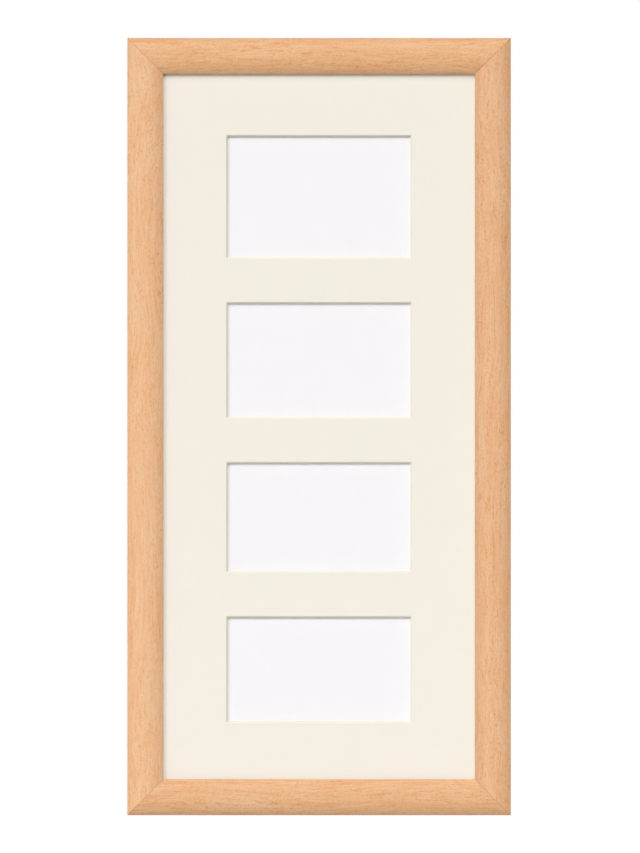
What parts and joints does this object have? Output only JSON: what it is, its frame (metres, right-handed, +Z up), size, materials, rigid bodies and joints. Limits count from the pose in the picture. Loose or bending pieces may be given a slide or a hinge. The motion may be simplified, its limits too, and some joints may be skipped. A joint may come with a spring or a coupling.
{
  "type": "collage photo frame",
  "caption": "Tall wooden collage picture frame for the wall, with a mitred cushion moulding, glass and a mat with a column of landscape windows for prints.",
  "frame": {"origin": "the hanging point: the root of the middle notch of the top sawtooth hanger, in the wall plane", "axes": "+Z up, +Y towards the wall with the picture facing -Y, +X to the viewer's right"},
  "size_m": [0.2652, 0.0196, 0.5371],
  "materials": {
    "moulding": "satin lacquered beech",
    "glass": "clear float glass",
    "mat_board": "matt off-white paper face",
    "print_card": "smooth white paper",
    "paper_tape": "matt paper tape",
    "grey_board": "matt pulp board",
    "hardboard": "smooth hardboard",
    "plated_steel": "zinc plated",
    "bumper_rubber": "matt soft rubber"
  },
  "bodies": {
    "frame": {"corner_v_nails": "plated_steel", "turn_button_screws": "plated_steel", "hanger_nails": "plated_steel", "rail_bottom": "moulding", "rail_top": "moulding", "stile_left": "moulding", "stile_right": "moulding", "glass_pane": "glass", "window_mat": "mat_board", "insert_card_1": "print_card", "insert_card_2": "print_card", "insert_card_3": "print_card", "insert_card_4": "print_card", "card_tapes": "paper_tape", "filler_card": "grey_board", "hanger_upright": "plated_steel", "hanger_sideways": "plated_steel", "bumper_left": "bumper_rubber", "bumper_right": "bumper_rubber"},
    "backing_board": {"backing_board": "hardboard"},
    "turn_button_left_upper": {"turn_button_left_upper": "plated_steel"},
    "turn_button_left_lower": {"turn_button_left_lower": "plated_steel"},
    "turn_button_right_upper": {"turn_button_right_upper": "plated_steel"},
    "turn_button_right_lower": {"turn_button_right_lower": "plated_steel"},
    "turn_button_top_left": {"turn_button_top_left": "plated_steel"},
    "turn_button_top_right": {"turn_button_top_right": "plated_steel"},
    "turn_button_bottom_left": {"turn_button_bottom_left": "plated_steel"},
    "turn_button_bottom_right": {"turn_button_bottom_right": "plated_steel"}
  },
  "joints": [
    {"name": "backing_board_lift", "type": "slide", "parent": "frame", "child": "backing_board", "axis": [0, 1, 0], "range_m": [0, 0.06]},
    {"name": "turn_button_left_upper_swivel", "type": "hinge", "parent": "frame", "child": "turn_button_left_upper", "pos_m": [-0.12415, -0.0032, -0.11675], "axis": [0, -1, 0], "continuous": true},
    {"name": "turn_button_left_lower_swivel", "type": "hinge", "parent": "frame", "child": "turn_button_left_lower", "pos_m": [-0.12415, -0.0032, -0.39675], "axis": [0, -1, 0], "continuous": true},
    {"name": "turn_button_right_upper_swivel", "type": "hinge", "parent": "frame", "child": "turn_button_right_upper", "pos_m": [0.12415, -0.0032, -0.11675], "axis": [0, 1, 0], "continuous": true},
    {"name": "turn_button_right_lower_swivel", "type": "hinge", "parent": "frame", "child": "turn_button_right_lower", "pos_m": [0.12415, -0.0032, -0.39675], "axis": [0, 1, 0], "continuous": true},
    {"name": "turn_button_top_left_swivel", "type": "hinge", "parent": "frame", "child": "turn_button_top_left", "pos_m": [-0.065, -0.0032, 0.0034], "axis": [0, -1, 0], "continuous": true},
    {"name": "turn_button_top_right_swivel", "type": "hinge", "parent": "frame", "child": "turn_button_top_right", "pos_m": [0.065, -0.0032, 0.0034], "axis": [0, 1, 0], "continuous": true},
    {"name": "turn_button_bottom_left_swivel", "type": "hinge", "parent": "frame", "child": "turn_button_bottom_left", "pos_m": [-0.065, -0.0032, -0.5169], "axis": [0, 1, 0], "continuous": true},
    {"name": "turn_button_bottom_right_swivel", "type": "hinge", "parent": "frame", "child": "turn_button_bottom_right", "pos_m": [0.065, -0.0032, -0.5169], "axis": [0, -1, 0], "continuous": true}
  ]
}
